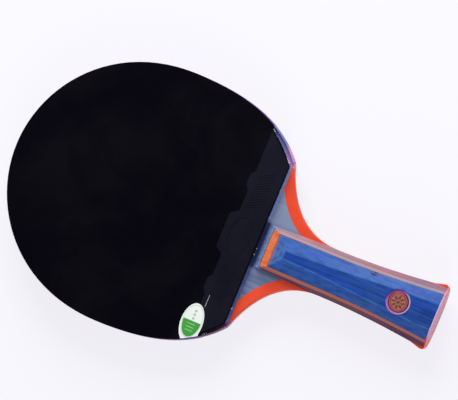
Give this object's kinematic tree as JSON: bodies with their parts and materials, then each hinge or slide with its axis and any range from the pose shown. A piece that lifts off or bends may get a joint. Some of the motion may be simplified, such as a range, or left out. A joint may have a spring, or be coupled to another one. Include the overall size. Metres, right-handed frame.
{
  "type": "table tennis racket",
  "caption": "Table tennis racket with a laminated blade, black and red rubbers and a flared handle of dyed wood in a moulded orange frame.",
  "frame": {"origin": "centre of the racket's length and width, on the plane of the rear handle scale's flat crown, which is its lowest face", "axes": "+X along the length from the head to the butt, +Y across the head, +Z out of the front (black) rubber"},
  "size_m": [0.258, 0.1504, 0.0223],
  "materials": {
    "core_wood": "bare pale wood",
    "dyed_ply": "grey-blue stained, satin",
    "orange_plastic": "gloss orange",
    "blue_sponge": "fine blue foam",
    "black_rubber": "black, matt",
    "red_rubber": "red, matt",
    "purple_tape": "purple tape, satin",
    "plum_wood": "plum-dyed wood, lacquered",
    "orange_wood": "orange-dyed veneer, lacquered",
    "blue_wood": "blue-dyed wood, lacquered",
    "pink_metal": "pink lacquered metal, polished",
    "gold_metal": "satin",
    "label_vinyl": "printed green film"
  },
  "bodies": {
    "root": {"blade_core": "core_wood", "front_inner_ply": "core_wood", "rear_inner_ply": "core_wood", "front_outer_ply": "dyed_ply", "rear_outer_ply": "dyed_ply", "grip_frame": "orange_plastic", "front_sponge": "blue_sponge", "rear_sponge": "blue_sponge", "front_topsheet": "black_rubber", "rear_topsheet": "red_rubber", "edge_tape": "purple_tape", "front_scale_base": "plum_wood", "front_scale_veneer": "orange_wood", "front_scale_top": "blue_wood", "rear_scale_base": "plum_wood", "rear_scale_veneer": "orange_wood", "rear_scale_top": "blue_wood", "badge_ring": "pink_metal", "badge_disc": "gold_metal", "oval_label": "label_vinyl"}
  },
  "joints": []
}
